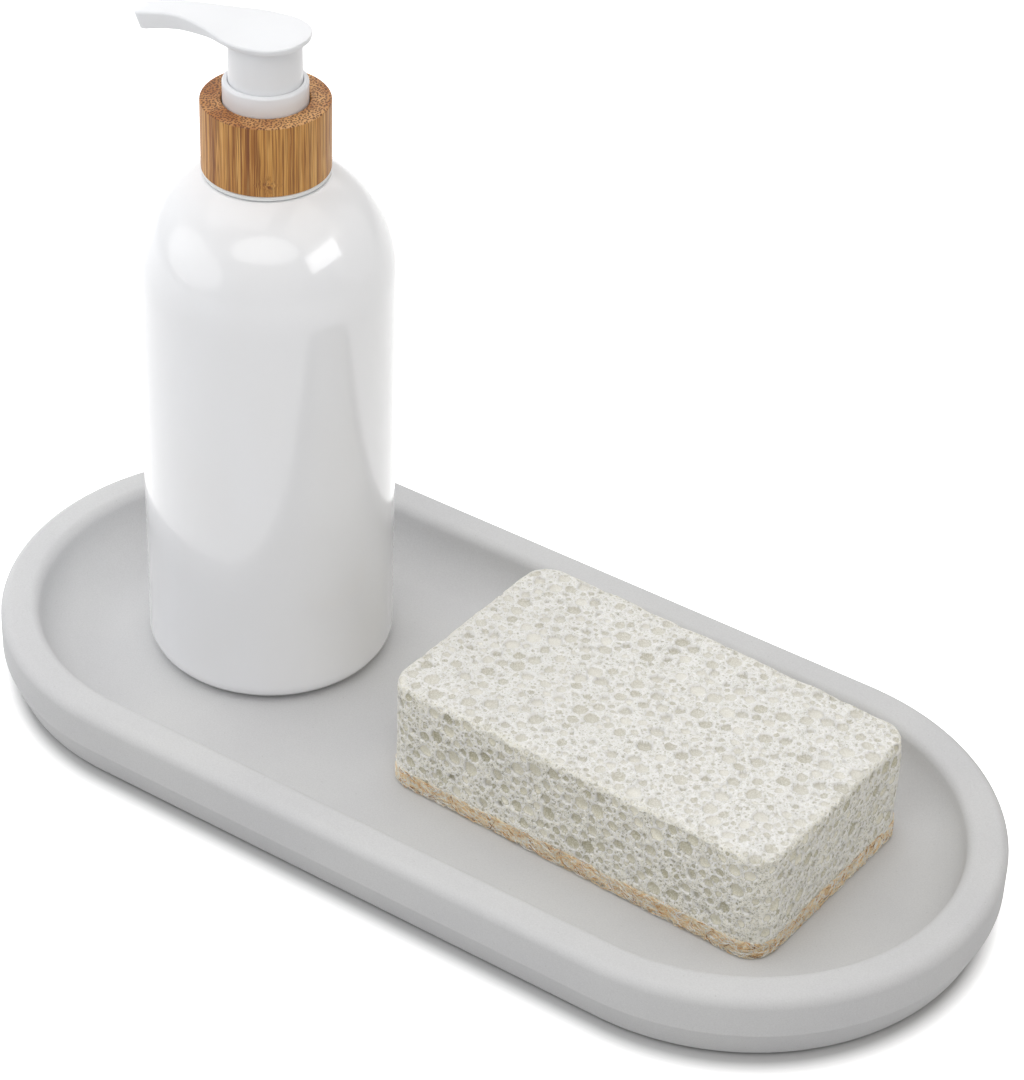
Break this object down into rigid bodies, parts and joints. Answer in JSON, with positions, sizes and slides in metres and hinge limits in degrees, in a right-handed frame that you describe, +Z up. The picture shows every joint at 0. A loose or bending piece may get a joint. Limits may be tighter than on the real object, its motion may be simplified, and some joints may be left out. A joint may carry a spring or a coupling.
{
  "type": "sink caddy",
  "caption": "Oval stone tray with a raised rim, carrying a soap pump bottle with a bamboo collar and a cleaning sponge.",
  "frame": {"origin": "middle of the tray in X and Y, on the surface that its feet stand on", "axes": "+Z up; +X along the tray, from the bottle to the sponge; +Y to the back of the tray"},
  "size_m": [0.3, 0.1394, 0.1972],
  "materials": {
    "pale_stone": "matte",
    "clear_rubber": "matte",
    "gloss_white": "gloss",
    "pump_white": "satin",
    "bamboo": "satin",
    "natural_plastic": "satin",
    "seal_plastic": "satin",
    "spring_steel": "polished",
    "cellulose_foam": "matte",
    "scour_fibre": "matte"
  },
  "bodies": {
    "tray": {"tray_body": "pale_stone", "tray_foot_1": "clear_rubber", "tray_foot_2": "clear_rubber", "tray_foot_3": "clear_rubber", "tray_foot_4": "clear_rubber"},
    "bottle": {"bottle_shell": "gloss_white"},
    "pump": {"pump_housing": "natural_plastic", "neck_gasket": "seal_plastic", "guide_ring": "pump_white", "check_ball": "spring_steel", "dip_tube": "natural_plastic", "return_spring": "spring_steel"},
    "collar": {"bamboo_collar": "bamboo", "thread_insert": "natural_plastic"},
    "plunger": {"piston_seal": "seal_plastic"},
    "head": {"pump_head": "pump_white", "pump_stem": "natural_plastic", "stem_plug": "natural_plastic"},
    "sponge": {"sponge_foam": "cellulose_foam", "scour_pad": "scour_fibre"}
  },
  "joints": [
    {"name": "bottle_lift", "type": "slide", "parent": "tray", "child": "bottle", "axis": [0, 0, 1], "range_m": [0, 0.1]},
    {"name": "pump_rise", "type": "slide", "parent": "bottle", "child": "pump", "axis": [0, 0, 1], "range_m": [0, 0.0064]},
    {"name": "collar_turn", "type": "hinge", "parent": "pump", "child": "collar", "pos_m": [-0.0771, 0.0049, 0.167], "axis": [0, 0, 1], "range_deg": [0, 720]},
    {"name": "plunger_stroke", "type": "slide", "parent": "pump", "child": "plunger", "axis": [0, 0, -1], "range_m": [0, 0.011], "stiffness_N_per_m": 800, "springref_m": -0.006, "deforming": ["return_spring"]},
    {"name": "head_swivel", "type": "hinge", "parent": "plunger", "child": "head", "pos_m": [-0.0771, 0.0049, 0.19], "axis": [0, 0, 1], "continuous": true},
    {"name": "sponge_lift", "type": "slide", "parent": "tray", "child": "sponge", "axis": [0, 0, 1], "range_m": [0, 0.08]}
  ],
  "couplings": [
    {"joint": "pump_rise", "follows": "collar_turn", "m_per_rad": 0.00050532}
  ]
}
